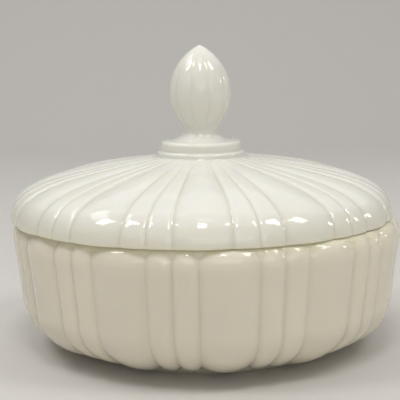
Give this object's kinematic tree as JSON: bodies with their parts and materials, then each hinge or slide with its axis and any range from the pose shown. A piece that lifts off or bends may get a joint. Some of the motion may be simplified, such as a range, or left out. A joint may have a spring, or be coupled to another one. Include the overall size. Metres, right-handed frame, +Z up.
{
  "type": "covered jar",
  "caption": "Round jar of pressed opal glass: a lobed bowl under a loose domed lid with radiating lobes and a fluted bud finial.",
  "frame": {"origin": "on the bowl's axis, in the plane its foot ring stands on", "axes": "+Z up along the bowl's axis towards the finial; -Y towards the viewer of the front, where a wide lobe of the lid faces"},
  "size_m": [0.1606, 0.1592, 0.1223],
  "materials": {
    "bowl_glass": "polished opal glass, cream with a faint warm cast",
    "lid_glass": "polished opal glass, near white"
  },
  "bodies": {
    "bowl": {"bowl": "bowl_glass"},
    "lid": {"lid": "lid_glass"}
  },
  "joints": [
    {"name": "lid_lift", "type": "slide", "parent": "bowl", "child": "lid", "axis": [0, 0, 1], "range_m": [0, 0.15]}
  ]
}
